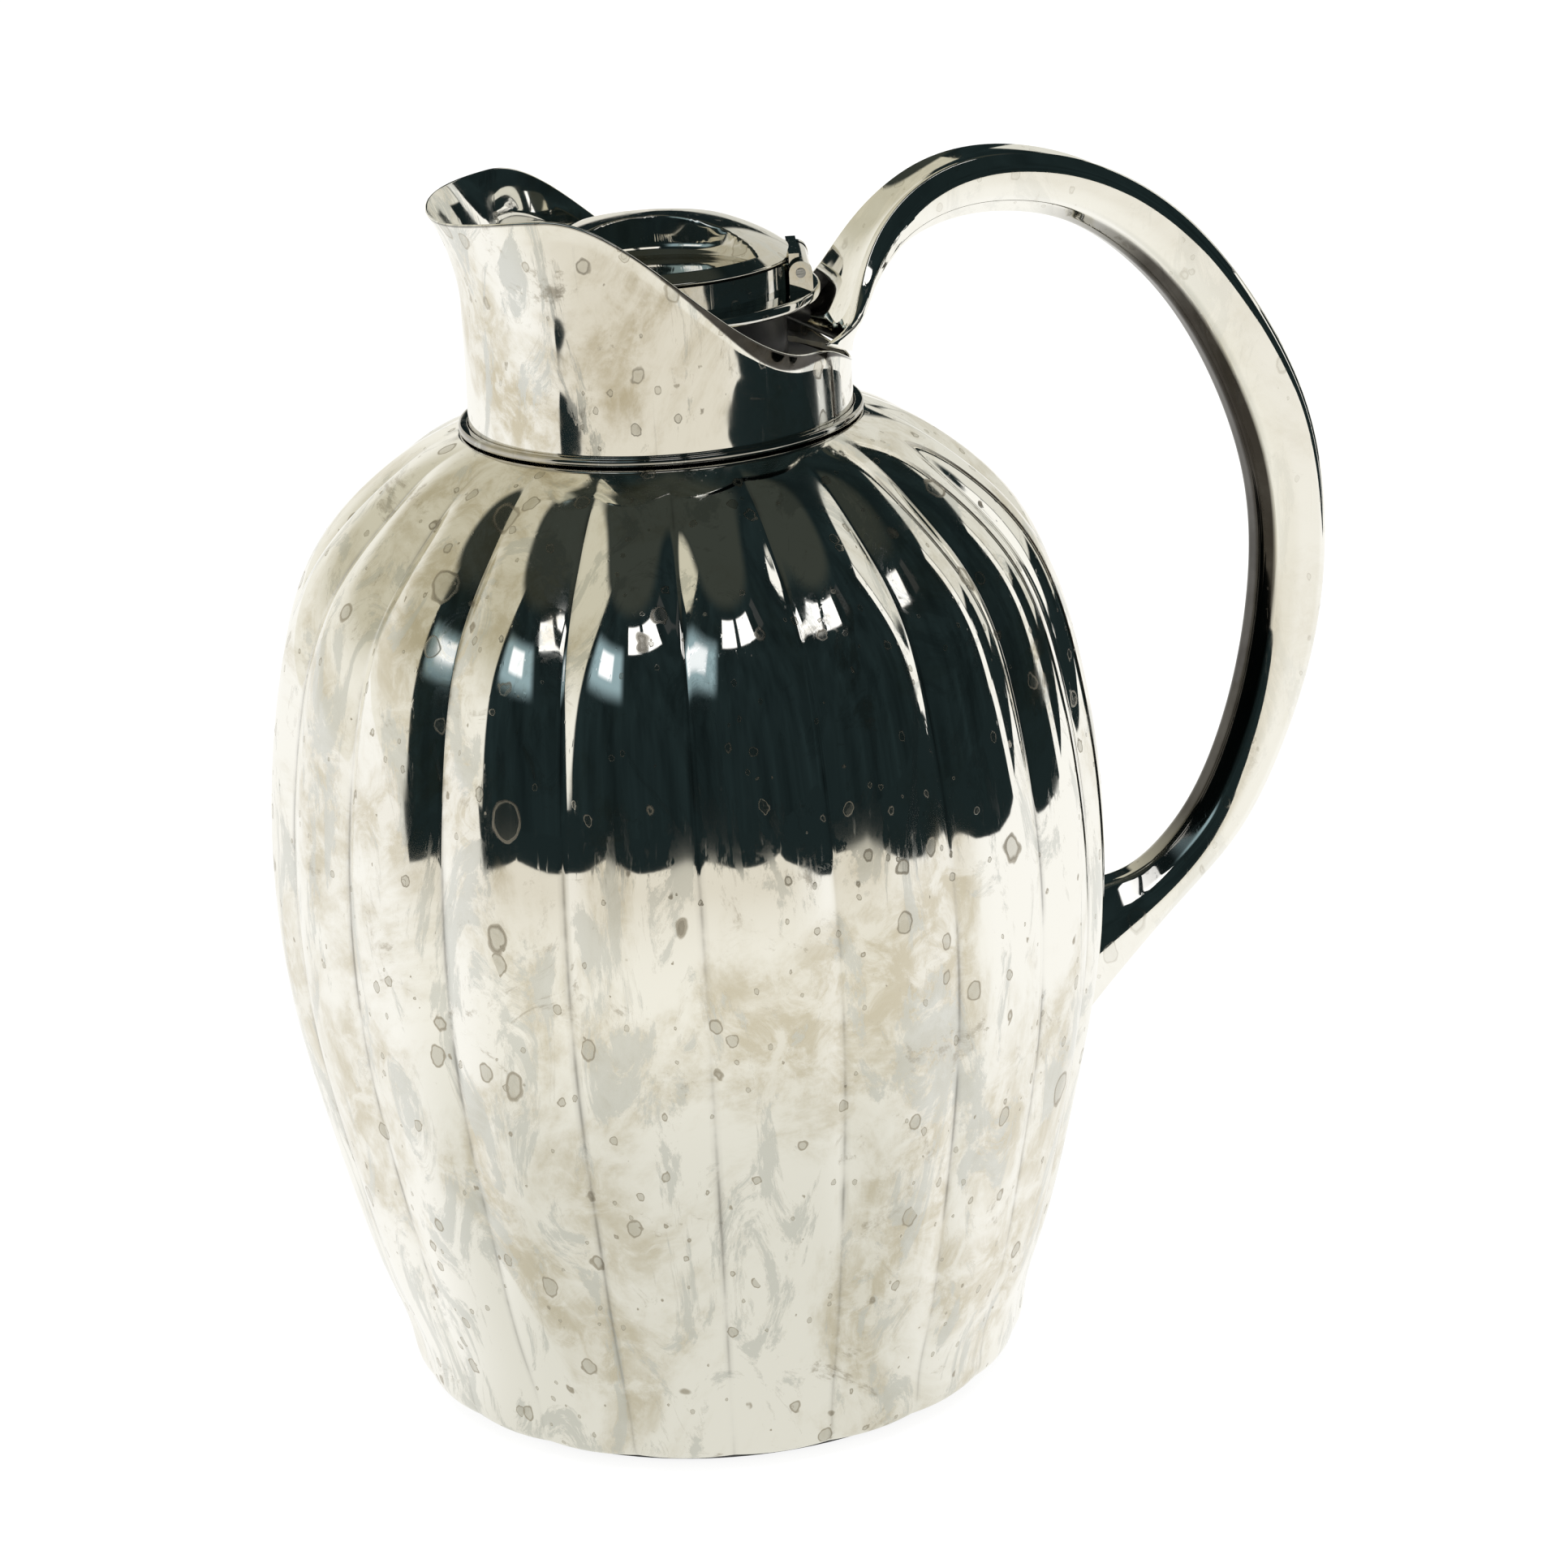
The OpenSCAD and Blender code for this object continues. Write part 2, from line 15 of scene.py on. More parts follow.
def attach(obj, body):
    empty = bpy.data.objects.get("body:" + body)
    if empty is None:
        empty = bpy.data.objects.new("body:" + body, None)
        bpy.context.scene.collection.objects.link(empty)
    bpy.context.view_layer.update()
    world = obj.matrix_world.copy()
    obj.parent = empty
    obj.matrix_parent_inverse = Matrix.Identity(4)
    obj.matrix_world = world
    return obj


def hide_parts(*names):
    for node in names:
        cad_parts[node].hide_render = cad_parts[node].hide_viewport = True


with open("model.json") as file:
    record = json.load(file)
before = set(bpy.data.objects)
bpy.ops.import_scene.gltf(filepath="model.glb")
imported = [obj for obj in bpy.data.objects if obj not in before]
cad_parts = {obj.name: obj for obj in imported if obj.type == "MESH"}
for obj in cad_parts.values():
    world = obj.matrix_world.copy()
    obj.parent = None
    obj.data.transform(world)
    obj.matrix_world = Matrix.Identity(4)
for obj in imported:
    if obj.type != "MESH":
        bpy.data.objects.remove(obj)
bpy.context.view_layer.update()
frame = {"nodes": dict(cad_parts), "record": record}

MM = 0.001
TURN = 2 * math.pi

# ---- Camera ----

VIEW_TURN = math.radians(19)  # how far the handle points away from square to the camera
CAMERA_DISTANCE = 0.7991
CAMERA_HEIGHT = 0.389
CAMERA_YAW = math.radians(1.36)
CAMERA_PITCH = math.radians(18.9)
CAMERA_ROLL = math.radians(-3.27)
LENS_MM = 100.6
SENSOR_MM = 36

# ---- Casing, as in the CAD ----

LOBES = 20
CASING_WALL = 1.2
FLUTE_DEPTH = 1.9
FLUTE_POWER = 2.0
CASING_OUTLINE = [[54.5, 1.2], [59.5, 3], [61.5, 9.5], [65.5, 23], [72, 47.5], [78.5, 80], [80, 113],
    [76.5, 142], [69, 164.5], [55, 180], [44, 187], [37.2, 189.6]]
FLUTE_SHARE = [0.1, 0.2, 0.25, 0.35, 0.6, 0.85, 1, 1.1, 1.2, 1, 0.2, 0]

# ---- Collar, as in the CAD ----

COLLAR_R = 36.2
COLLAR_WALL = 1.2
SPOUT_REACH = 4.8
SPOUT_SPREAD = 39
SPOUT_TURN = 7  # degrees that the spout stands off the handle's plane
COLLAR_FOOT_Z = 184
# The rim dips at the tip of the spout, falls along each side, then falls again to the handle's seam
SPOUT_TOP_Z = 234
TIP_DIP, TIP_DIP_TO = 2.3, 50
SIDE_FALL, SIDE_FALL_FROM, SIDE_FALL_TO = 28.5, 48, 128
SEAM_FALL, SEAM_FALL_FROM, SEAM_FALL_TO = 7, 125, 173
WAIST, WAIST_Z, WAIST_H = 0.36, 190, 14
SPOUT_LOW_Z, SPOUT_H, SPOUT_FADE, SPOUT_POWER = 214, 17.5, 3.7, 1.8
LIP_FLARE, DIP_FLARE = 0.25, 1.3
LIP_H, LIP_POWER = 3.4, 1.2
RIM_WALL, RIM_TAPER = 0.55, 8  # finer than the CAD: the wall thins towards the rim on its inside
DIP_AT, DIP_SPREAD = 113, 22
CLEARANCE = 0.1  # between a ring and the round piece inside it
BEAD_R = 38
BEAD_Z = 189.7
BEAD_H = 1.5

# ---- Handle, as in the CAD: edge x, edge z, half width, nose x, nose z, depth of the trough ----

HANDLE_STATIONS = [
    [23, 205.5, 28.2, 36.9, 198.6, 13.8], [29.4, 205.5, 20.8, 37.8, 201.6, 7.4],
    [33.6, 207, 16, 39.6, 204.6, 4.3], [36.4, 210.4, 12.4, 41.2, 208, 3.2],
    [39.1, 215, 10, 43.8, 211.6, 2.6], [43.4, 221, 8, 48.8, 215.9, 2.1],
    [48.4, 225.6, 7, 53.2, 218.1, 1.8], [56.6, 230, 6.5, 59.3, 219.7, 1.5],
    [67, 231.8, 6.5, 67, 220.2, 1.2], [78.5, 230.6, 6.5, 76.5, 218.9, 1],
    [89.5, 227, 6.5, 84.8, 215.9, 0.9], [107, 215.3, 6.5, 98.2, 206, 0.7],
    [122, 196.5, 6.5, 110.4, 190, 0.5], [133, 173.5, 6.5, 119.7, 168.2, 0.4],
    [136.3, 149, 6.5, 122.8, 147.5, 0.3], [133.5, 125.5, 6.5, 120.7, 127, 0.1],
    [125.5, 103.5, 6.4, 115.2, 108, -0.4], [115, 86.8, 6.4, 107, 92.8, -1],
    [103, 76, 6.6, 97.6, 84, -1.4], [90, 65.2, 7.6, 88.4, 81, -1.6], [82, 58.8, 9, 82.6, 80.6, -1.2],
    [76, 54, 10.4, 79.4, 80.6, -0.6]]
HANDLE_LAND = 1.2
# Station, then height of the bevel beside the trough
HANDLE_BEVELS = [[0, 1], [3, 2.4], [7, 3.4], [10, 2.4], [13, 1.1], [21, 1]]
NOSE_HALF = 0.35  # half width of the flat nose in half widths
# Station, share of the depth where the side first turns in, then share of the depth and of the
# half width where it turns in sharply
HANDLE_SIDES = [
    [0, 0.6, 0.78, 0.86], [12, 0.5, 0.72, 0.86], [14, 0.5, 0.72, 0.86],
    [16, 0.46, 0.68, 0.85], [21, 0.4, 0.61, 0.85]]
INNER_EDGE_PAINTED_SHADE = [[9, 0], [11, 1], [17, 1], [19, 0]]  # station, then painted shade along the inner edge, a painted dark reflection
SIDE_SLANT = 0.95  # half width at the first turn, in half widths
SIDE_POINTS = 81
BAR_FROM = 5  # station from which the section is a full bar

# ---- Stopper and lid, as in the CAD ----

GRIP_TURN = math.radians(-19)
PLATE_R = 31
PLATE_Z = 211.5
PLATE_TOP_Z = 213.8
SEAT_R = 14
LID_BASE_Z = 219.6
DOME_OUTLINE = [[0, 228.4], [8, 227.7], [15, 226], [20, 223.9], [24, 221.6], [26.2, 220]]
WELL_R = 26
WELL_Y = 28.4
WELL_FLOOR_Z = 221
WELL_RIM_R = 23.8


# ---- Curves ----


def fair(points, steps):
    """Evenly spaced points of a curve of continuous curvature through a list."""
    p = np.asarray(points, float)
    u = np.concatenate([[0], np.cumsum(np.linalg.norm(np.diff(p[:, :2], axis=0), axis=1))])
    h = np.diff(u)
    n = len(p)
    system = np.zeros((n, n))
    right = np.zeros_like(p)
    system[0, 0] = system[-1, -1] = 1
    for i in range(1, n - 1):
        system[i, i - 1 : i + 2] = h[i - 1], 2 * (h[i - 1] + h[i]), h[i]
        right[i] = 6 * ((p[i + 1] - p[i]) / h[i] - (p[i] - p[i - 1]) / h[i - 1])
    bend = np.linalg.solve(system, right)
    at = np.linspace(0, u[-1], steps)
    i = np.clip(np.searchsorted(u, at, side="right") - 1, 0, n - 2)
    a = ((u[i + 1] - at) / h[i])[:, None]
    b = 1 - a
    square = (h[i] ** 2 / 6)[:, None]
    return a * p[i] + b * p[i + 1] + ((a ** 3 - a) * bend[i] + (b ** 3 - b) * bend[i + 1]) * square


def normals_2d(curve):
    """Unit normals of an (r, z) curve, to its right as it runs."""
    t = np.gradient(curve, axis=0)
    t /= np.linalg.norm(t, axis=1)[:, None]
    return np.stack([t[:, 1], -t[:, 0]], axis=1)


def smooth_min(a, b, blend):
    """The smaller of two heights, rounded over where they meet."""
    h = np.clip(0.5 + 0.5 * (b - a) / blend, 0, 1)
    return b + (a - b) * h - blend * h * (1 - h)


# ---- Meshes ----


def grid_faces(rows, columns, wrap_rows, wrap_columns):
    """Quads of a grid of points numbered row by row."""
    r = np.arange(rows if wrap_rows else rows - 1)
    c = np.arange(columns if wrap_columns else columns - 1)
    r, c = np.meshgrid(r, c, indexing="ij")
    r2 = (r + 1) % rows
    c2 = (c + 1) % columns
    corners = [r * columns + c, r * columns + c2, r2 * columns + c2, r2 * columns + c]
    return np.stack(corners, axis=-1).reshape(-1, 4)


def enclosed(points, faces):
    """Signed volume inside quads, positive when they face outwards."""
    a, b, c, d = (points[faces[:, k]] for k in range(4))
    return (np.einsum("ij,ij->i", a, np.cross(b, c)) + np.einsum("ij,ij->i", a, np.cross(c, d))).sum()


def mesh_object(name, points, faces, closed=True):
    """Smooth-shaded mesh of quads, from points in millimetres, facing outwards."""
    points = np.asarray(points, float).reshape(-1, 3)
    faces = faces[:, ::-1] if closed and enclosed(points, faces) < 0 else faces
    faces = [list(dict.fromkeys(f)) for f in faces.tolist()]
    mesh = bpy.data.meshes.new(name)
    mesh.from_pydata((points * MM).tolist(), [], faces)
    mesh.validate()
    mesh.shade_smooth()
    piece = bpy.data.objects.new(name, mesh)
    bpy.context.scene.collection.objects.link(piece)
    return piece


def add_attribute(piece, name, values):
    """Stores one number per vertex, for a material to read."""
    attribute = piece.data.attributes.new(name, "FLOAT", "POINT")
    attribute.data.foreach_set("value", np.asarray(values, np.float32).ravel())


def revolved(name, section, columns=256):
    """Closed section of (r, z) points swept once round the axis."""
    section = np.asarray(section, float)
    a = np.linspace(0, TURN, columns, endpoint=False)[:, None]
    r, z = section[None, :, 0], section[None, :, 1]
    points = np.stack([r * np.cos(a), r * np.sin(a), z + 0 * a], axis=-1)
    return mesh_object(name, points, grid_faces(columns, len(section), True, True))


def rounded(corners, radius, steps=5):
    """Closed outline with each corner rounded; radius is one number or one per corner."""
    p = np.asarray(corners, float)
    radii = np.broadcast_to(radius, len(p))
    out = []
    for i, corner in enumerate(p):
        to_last = p[i - 1] - corner
        to_next = p[(i + 1) % len(p)] - corner
        reach = min(radii[i], 0.45 * np.linalg.norm(to_last), 0.45 * np.linalg.norm(to_next))
        start = corner + to_last / np.linalg.norm(to_last) * reach
        end = corner + to_next / np.linalg.norm(to_next) * reach
        t = np.linspace(0, 1, steps)[:, None]
        out.append((1 - t) ** 2 * start + 2 * t * (1 - t) * corner + t ** 2 * end)
    return np.vstack(out)


def gripwise(piece):
    """Turns a mesh from the lid's own axes to its place at rest."""
    piece.data.transform(Matrix.Rotation(GRIP_TURN, 4, "Z"))
    return piece


# ---- Node trees ----


class Net:
    """Short hands for building one node tree."""

    def __init__(self, tree):
        self.tree = tree
        tree.nodes.clear()

    def node(self, kind, **settings):
        made = self.tree.nodes.new(kind)
        for key, value in settings.items():
            setattr(made, key, value)
        return made

    def fill(self, socket, value):
        """Sets a socket from a number, a colour or another socket."""
        if isinstance(value, bpy.types.NodeSocket):
            self.tree.links.new(value, socket)
        else:
            socket.default_value = value

    def math(self, operation, *values, clamp=False):
        made = self.node("ShaderNodeMath", operation=operation, use_clamp=clamp)
        for socket, value in zip(made.inputs, values):
            self.fill(socket, value)
        return made.outputs[0]

    def ramp(self, value, low, high, start=0.0, end=1.0):
        """Smooth step of a value from start at low to end at high."""
        made = self.node("ShaderNodeMapRange", interpolation_type="SMOOTHSTEP")
        keys = ("Value", "From Min", "From Max", "To Min", "To Max")
        for key, number in zip(keys, (value, low, high, start, end)):
            self.fill(made.inputs[key], number)
        return made.outputs["Result"]

    def mix(self, share, a, b):
        """Colour a where share is 0 and b where it is 1."""
        made = self.node("ShaderNodeMix", data_type="RGBA")
        self.fill(made.inputs[0], share)
        self.fill(made.inputs[6], a)
        self.fill(made.inputs[7], b)
        return made.outputs[2]

    def stretched(self, vector, scale, turn=(0, 0, 0)):
        """A vector scaled along each axis after a turn in degrees."""
        made = self.node("ShaderNodeMapping")
        self.fill(made.inputs["Vector"], vector)
        made.inputs["Rotation"].default_value = [math.radians(t) for t in turn]
        made.inputs["Scale"].default_value = scale
        return made.outputs[0]

    def noise(self, vector, scale, detail=4.0, roughness=0.55, distortion=0.0):
        made = self.node("ShaderNodeTexNoise")
        for key, value in zip(("Vector", "Scale", "Detail", "Roughness", "Distortion"),
                (vector, scale, detail, roughness, distortion)):
            self.fill(made.inputs[key], value)
        return made.outputs["Fac"]

    def cells(self, vector, scale):
        """Distance to the nearest cell point, in cells, and a random number of the cell."""
        made = self.node("ShaderNodeTexVoronoi")
        self.fill(made.inputs["Vector"], vector)
        self.fill(made.inputs["Scale"], scale)
        split = self.node("ShaderNodeSeparateColor")
        self.fill(split.inputs[0], made.outputs["Color"])
        return made.outputs["Distance"], split.outputs[0], split.outputs[1]

    def bump(self, height, distance, normal=None):
        """Normal bent by a height from 0 to 1 that stands for the given distance in metres."""
        made = self.node("ShaderNodeBump")
        made.inputs["Strength"].default_value = 1
        made.inputs["Distance"].default_value = distance
        self.fill(made.inputs["Height"], height)
        if normal is not None:
            self.fill(made.inputs["Normal"], normal)
        return made.outputs[0]

    def surface(self, normal=None, **inputs):
        """One Principled shader on the output."""
        shader = self.node("ShaderNodeBsdfPrincipled")
        for key, value in inputs.items():
            self.fill(shader.inputs[key.replace("_", " ")], value)
        if normal is not None:
            self.fill(shader.inputs["Normal"], normal)
        out = self.node("ShaderNodeOutputMaterial")
        self.fill(out.inputs["Surface"], shader.outputs[0])
        return shader


def material(name):
    """New material with an empty node tree."""
    made = bpy.data.materials.new(name)
    made.use_nodes = True
    return made, Net(made.node_tree)


# ---- Materials ----

SILVER = (0.955, 0.945, 0.905, 1)
WARM_FILM = (0.63, 0.575, 0.45, 1)
GREY_FILM = (0.65, 0.66, 0.63, 1)
BROWN_TARNISH = (0.4, 0.36, 0.29, 1)
# Near black, for oxide in the casing's creases and for painted shade on the collar and the handle
DARK_TARNISH_AND_SHADE = (0.05, 0.045, 0.04, 1)
SPOT_FILM = (0.54, 0.52, 0.45, 1)
# Water spots, from coarse to fine: spots per metre, share left out, smallest radius and spread in cells
SPOT_SIZES = [
    (75, 0.74, 0.07, 0.12), (140, 0.68, 0.08, 0.14), (250, 0.78, 0.09, 0.15), (500, 0.9, 0.1, 0.16)]


def stains(net, place):
    """Water spots, slightly drawn downwards: discs and darker outlines of random size."""
    filled, outline = None, None
    drawn = net.stretched(place, (1, 1, 0.75))
    for scale, share, smallest, spread in SPOT_SIZES:
        wobble = net.noise(drawn, scale * 2.2, 2.0)
        distance, chance, size = net.cells(drawn, scale)
        distance = net.math("ADD", distance, net.math("MULTIPLY", net.math("SUBTRACT", wobble, 0.5), 0.36))
        chosen = net.math("GREATER_THAN", chance, share)
        radius = net.math("MULTIPLY_ADD", size, spread, smallest)
        inside = net.math("MULTIPLY", chosen, net.math("LESS_THAN", distance, radius))
        gap = net.math("ABSOLUTE", net.math("SUBTRACT", distance, radius))
        ring = net.math("MULTIPLY", chosen, net.ramp(gap, 0.035, 0.008))
        filled = inside if filled is None else net.math("MAXIMUM", filled, inside)
        outline = ring if outline is None else net.math("MAXIMUM", outline, ring)
    return filled, outline


def silver(name, patina=1.0, spots=1.0, grime_and_shade=0.6, patchy=0.1, wave=0.00006, tint=SILVER):
    """Worn silver plate: clouds of warm and grey film, brown tarnish, water spots and fine scratches.

    A mesh attribute marks dark places: oxide in the casing's creases, and painted shade, a painted dark
    reflection, under the collar's rim and along the handle's inner edge. grime sets how dark the mark is,
    and patchy is its share between patches.
    """
    made, net = material(name)
    place = net.node("ShaderNodeTexCoord").outputs["Object"]
    clouds = net.noise(net.stretched(place, (1, 1, 0.7)), 22, 7.0, 0.66, 0.6)
    mottle = net.noise(place, 120, 7.0, 0.68, 0.6)
    film = net.math("MULTIPLY", net.ramp(clouds, 0.44, 0.62), net.ramp(mottle, 0.38, 0.58, 0.3))
    film = net.math("MULTIPLY", film, patina)
    runs = net.noise(net.stretched(place, (75, 75, 26), (4, 3, 0)), 1, 9.0, 0.72, 1.2)
    grey = net.math("MULTIPLY", net.ramp(runs, 0.545, 0.575), patina)
    from_edge = net.math("ABSOLUTE", net.math("SUBTRACT", runs, 0.545))
    grey_edge = net.math("MULTIPLY", net.ramp(from_edge, 0.01, 0), patina)
    patches = net.noise(place, 52, 9.0, 0.74, 1.0)
    brown = net.math("MULTIPLY", net.ramp(patches, 0.585, 0.66), net.ramp(mottle, 0.42, 0.56))
    brown = net.math("MULTIPLY", brown, patina)
    filled, outline = stains(net, place)
    filled = net.math("MULTIPLY", filled, spots)
    outline = net.math("MULTIPLY", outline, spots)
    colour = net.mix(net.math("MULTIPLY", film, 0.85), tint, WARM_FILM)
    colour = net.mix(net.math("MULTIPLY", grey, 0.7), colour, GREY_FILM)
    colour = net.mix(net.math("MULTIPLY", grey_edge, 0.22), colour, BROWN_TARNISH)
    colour = net.mix(net.math("MULTIPLY", brown, 0.6), colour, BROWN_TARNISH)
    colour = net.mix(net.math("MULTIPLY", filled, 0.6), colour, SPOT_FILM)
    colour = net.mix(net.math("MULTIPLY", outline, 0.8), colour, BROWN_TARNISH)
    # Dark mark: oxide in the creases, and painted shade under the collar's rim and along the handle's
    # inner edge
    marked = net.node("ShaderNodeAttribute", attribute_name="tarnish_and_painted_shade").outputs["Fac"]
    dirt_and_painted_shade = net.math("MULTIPLY", marked, net.ramp(net.noise(place, 60, 5.0), 0.35, 0.62, patchy))
    colour = net.mix(net.math("MULTIPLY", dirt_and_painted_shade, grime_and_shade), colour, DARK_TARNISH_AND_SHADE)
    scratch = net.noise(net.stretched(place, (900, 900, 40), (18, 12, 0)), 1, 2.0)
    haze = net.ramp(net.noise(place, 40, 5.0, 0.6), 0.4, 0.7)
    roughness = net.math("MULTIPLY_ADD", film, 0.05, 0.025)
    for layer, rough in ((grey, 0.06), (brown, 0.08), (filled, 0.08), (outline, 0.2), (haze, 0.02)):
        roughness = net.math("MULTIPLY_ADD", layer, rough, roughness)
    roughness = net.math("MULTIPLY_ADD", net.ramp(scratch, 0.62, 0.72), 0.05, roughness)
    waves = net.bump(net.noise(place, 55, 2.0, 0.5), wave)
    fine = net.bump(net.math("MULTIPLY_ADD", outline, 0.5, net.ramp(scratch, 0.64, 0.74)), 0.000004, waves)
    net.surface(Base_Color=colour, Metallic=1.0, Roughness=roughness, normal=fine)
    return made


def moulded(name, colour, roughness, grain):
    """Moulded plastic or rubber with a fine grain and slight wear."""
    made, net = material(name)
    place = net.node("ShaderNodeTexCoord").outputs["Object"]
    worn = net.ramp(net.noise(place, 60, 6.0, 0.6), 0.42, 0.7)
    lighter = tuple(min(1, c * 1.5 + 0.015) for c in colour[:3]) + (1,)
    pebble = net.noise(place, 2200, 3.0, 0.6)
    net.surface(
        Base_Color=net.mix(worn, colour, lighter),
        Roughness=net.math("MULTIPLY_ADD", worn, 0.14, roughness), normal=net.bump(pebble, grain))
    return made


def brushed_steel(name):
    """Turned steel with fine rings and a few dull patches."""
    made, net = material(name)
    place = net.node("ShaderNodeTexCoord").outputs["Object"]
    lines = net.noise(net.stretched(place, (500, 500, 3500)), 1, 2.0)
    dull = net.ramp(net.noise(place, 120, 5.0), 0.4, 0.65)
    net.surface(
        Base_Color=net.mix(dull, (0.6, 0.6, 0.6, 1), (0.45, 0.45, 0.44, 1)), Metallic=1.0,
        Roughness=net.math("MULTIPLY_ADD", dull, 0.12, 0.2), normal=net.bump(lines, 0.00002))
    return made


def silvered_glass(name):
    """Glass wall with a mirror coat behind it and slight streaks in the coat."""
    made, net = material(name)
    place = net.node("ShaderNodeTexCoord").outputs["Object"]
    streaks = net.ramp(net.noise(net.stretched(place, (60, 60, 14)), 1, 5.0, 0.6), 0.45, 0.7)
    shader = net.surface(
        Base_Color=net.mix(streaks, (0.82, 0.85, 0.85, 1), (0.66, 0.69, 0.68, 1)), Metallic=1.0,
        Roughness=net.math("MULTIPLY_ADD", streaks, 0.05, 0.04))
    shader.inputs["Coat Weight"].default_value = 1
    shader.inputs["Coat Roughness"].default_value = 0.02
    return made


casing_silver = silver("worn_silver_casing")
# On the collar the dark mark is painted shade, a painted dark reflection under the rim.
collar_silver = silver("worn_silver_collar_and_painted_shade", patina=1.2, spots=0.7, grime_and_shade=1.0, patchy=0.95)
# The bead's silver is darkened all over by its tint.
bead_silver = silver("darkened_silver_bead", patina=0.8, spots=0.5, tint=(0.4, 0.39, 0.37, 1))
# On the handle the dark mark is painted shade, a painted dark reflection along the inner edge.
handle_silver = silver("worn_silver_handle_and_painted_shade", patina=0.3, spots=0.3, grime_and_shade=1.0, patchy=0.95)
lid_silver = silver("worn_silver_lid", patina=0.8, spots=0.6, tint=(0.72, 0.71, 0.68, 1))


# ---- Casing ----


def casing_piece():
    """Fluted casing with rounded creases, a rolled foot edge and a plain inner wall."""
    rows, per_lobe, inner_rows = 190, 20, 8
    shaped = [point + [share] for point, share in zip(CASING_OUTLINE, FLUTE_SHARE)]
    curve = fair(shaped, rows)
    outline, share = curve[:, :2], np.clip(curve[:, 2], 0, None)
    normal = normals_2d(outline)
    crease_round = 0.05
    tarnish_reach, tarnish_gain = 0.45, 1.6
    widest_r = max(r for r, _ in CASING_OUTLINE)
    u = np.linspace(-1, 1, per_lobe, endpoint=False)
    u = u * (1.35 - 0.35 * u ** 2)  # crowds the points towards the creases
    from_crease = 1 - np.abs(u)
    softened = 1 - (np.sqrt(from_crease ** 2 + crease_round ** 2) - crease_round * (1 - from_crease))
    drop = np.tile(np.clip(softened, 0, 1) ** FLUTE_POWER, LOBES)
    lobe = np.repeat(np.arange(LOBES), per_lobe)
    angle = (lobe + 0.5 + np.tile(u, LOBES) / 2) * TURN / LOBES
    depth = FLUTE_DEPTH * share[None, :, None] * drop[:, None, None]
    outer = outline[None] - depth * normal[None]
    back = np.linspace(rows - 1, 0, inner_rows).astype(int)
    inner = outer[:, back] - CASING_WALL * normal[None, back]
    section = np.concatenate([outer, inner], axis=1)
    r, z = section[..., 0], section[..., 1]
    points = np.stack([r * np.cos(angle)[:, None], r * np.sin(angle)[:, None], z], axis=-1)
    piece = mesh_object("fluted_casing", points, grid_faces(len(angle), section.shape[1], True, True))
    width = np.radians(180 / LOBES) * widest_r * np.tile(from_crease, LOBES)
    crease = np.exp(-((width / tarnish_reach) ** 2))[:, None] * np.clip(share[None] * tarnish_gain, 0, 1)
    add_attribute(piece, "tarnish_and_painted_shade", np.concatenate([crease, 0 * crease[:, back]], axis=1))
    return piece


casing = casing_piece()


# ---- Collar and bead ----


def from_spout(angle):
    """Degrees between a compass angle in radians and the spout."""
    return np.abs((np.degrees(angle) + SPOUT_TURN) % 360 - 180)


def ease(x, x0, x1):
    """Smooth step from 0 to 1 as x goes from x0 to x1."""
    return (1 - np.cos(math.pi * np.clip((x - x0) / (x1 - x0), 0, 1))) / 2


def rim_z(b):
    """Height of the collar's rim at angle b from the spout, in degrees."""
    return (SPOUT_TOP_Z - TIP_DIP * (1 - ease(b, 0, TIP_DIP_TO))
        - SIDE_FALL * ease(b, SIDE_FALL_FROM, SIDE_FALL_TO)
        - SEAM_FALL * ease(b, SEAM_FALL_FROM, SEAM_FALL_TO))


def collar_radius(b, z, top):
    """Outer radius at b degrees from the spout and height z, under a rim at height top."""
    up = np.clip((z - WAIST_Z) / WAIST_H, 0, 1)
    up_spout = np.clip((z - SPOUT_LOW_Z) / SPOUT_H, 0, None)
    up_lip = np.clip((z - top + LIP_H) / LIP_H, 0, 1)
    flare = LIP_FLARE + DIP_FLARE * np.exp(-(((b - DIP_AT) / DIP_SPREAD) ** 2))
    return (COLLAR_R - WAIST * (4 * up - up ** 4) / 3 + flare * up_lip ** LIP_POWER
        + SPOUT_REACH * np.exp(-((b / SPOUT_SPREAD) ** SPOUT_FADE)) * up_spout ** SPOUT_POWER)


